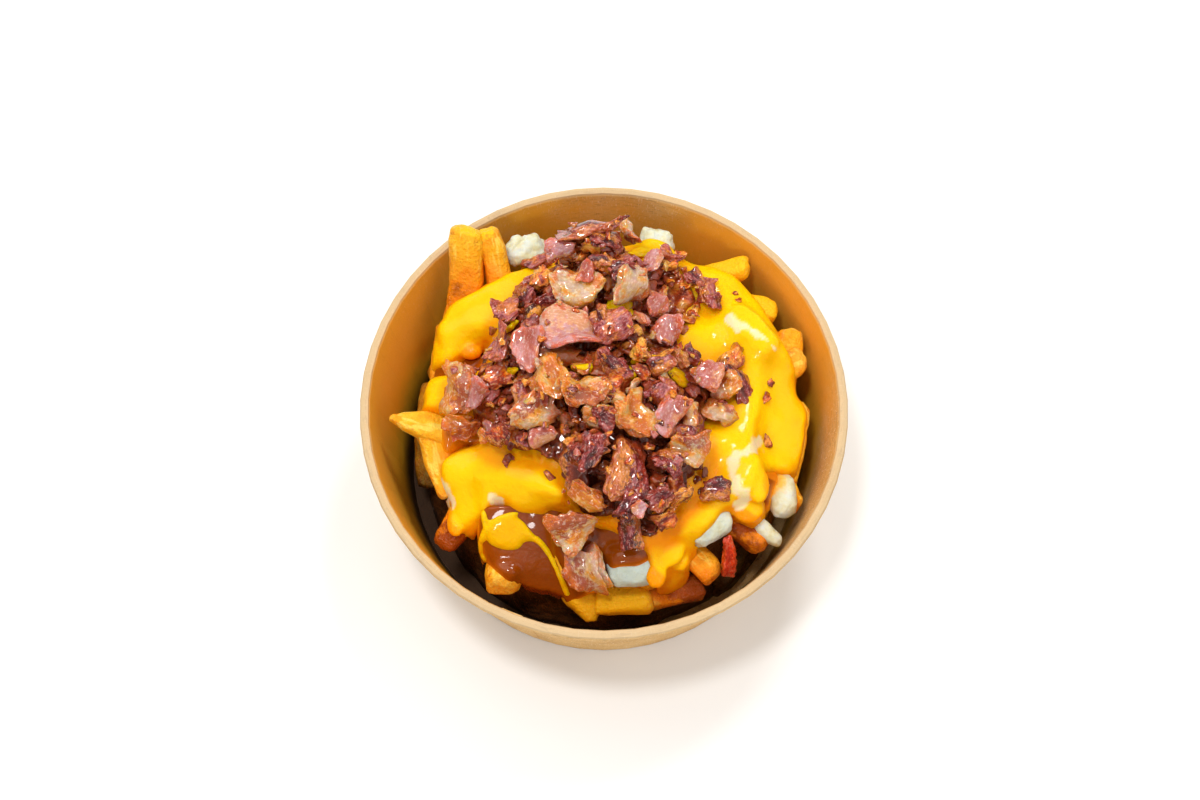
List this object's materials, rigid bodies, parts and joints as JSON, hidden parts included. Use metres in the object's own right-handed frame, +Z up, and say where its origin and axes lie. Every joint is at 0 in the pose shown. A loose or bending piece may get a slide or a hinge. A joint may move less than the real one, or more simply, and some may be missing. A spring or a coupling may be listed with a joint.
{
  "type": "cheese and bacon poutine",
  "caption": "Fries with cheese curds, brown gravy, cheese sauce and chopped bacon, heaped in a round kraft paper bowl.",
  "frame": {"origin": "centre of the bowl's foot, on the table", "axes": "+Z up; -Y is the side that faces the eater"},
  "size_m": [0.15, 0.15, 0.088],
  "materials": {
    "kraft_board": "matt brown kraft board with a thin sealed inside",
    "fried_potato": "crisp golden fried potato",
    "cheese_sauce": "glossy melted cheese sauce",
    "brown_gravy": "glossy brown gravy",
    "cheese_curd": "soft moist curd",
    "bacon": "fried chopped bacon, greasy"
  },
  "bodies": {
    "root": {"bowl": "kraft_board", "bowl_base": "kraft_board", "fries_heap": "fried_potato", "cheese_sauce": "cheese_sauce", "cheese_swirl": "cheese_sauce", "gravy_pool": "brown_gravy", "gravy_left": "brown_gravy", "gravy_upper": "brown_gravy", "bacon_heap": "bacon", "bacon_front_piece": "bacon", "bacon_dark_piece": "bacon", "bacon_red_strip": "bacon", "curd_1": "cheese_curd", "curd_2": "cheese_curd", "curd_3": "cheese_curd", "curd_4": "cheese_curd", "curd_5": "cheese_curd", "curd_6": "cheese_curd", "curd_7": "cheese_curd", "curd_8": "cheese_curd"}
  },
  "joints": []
}
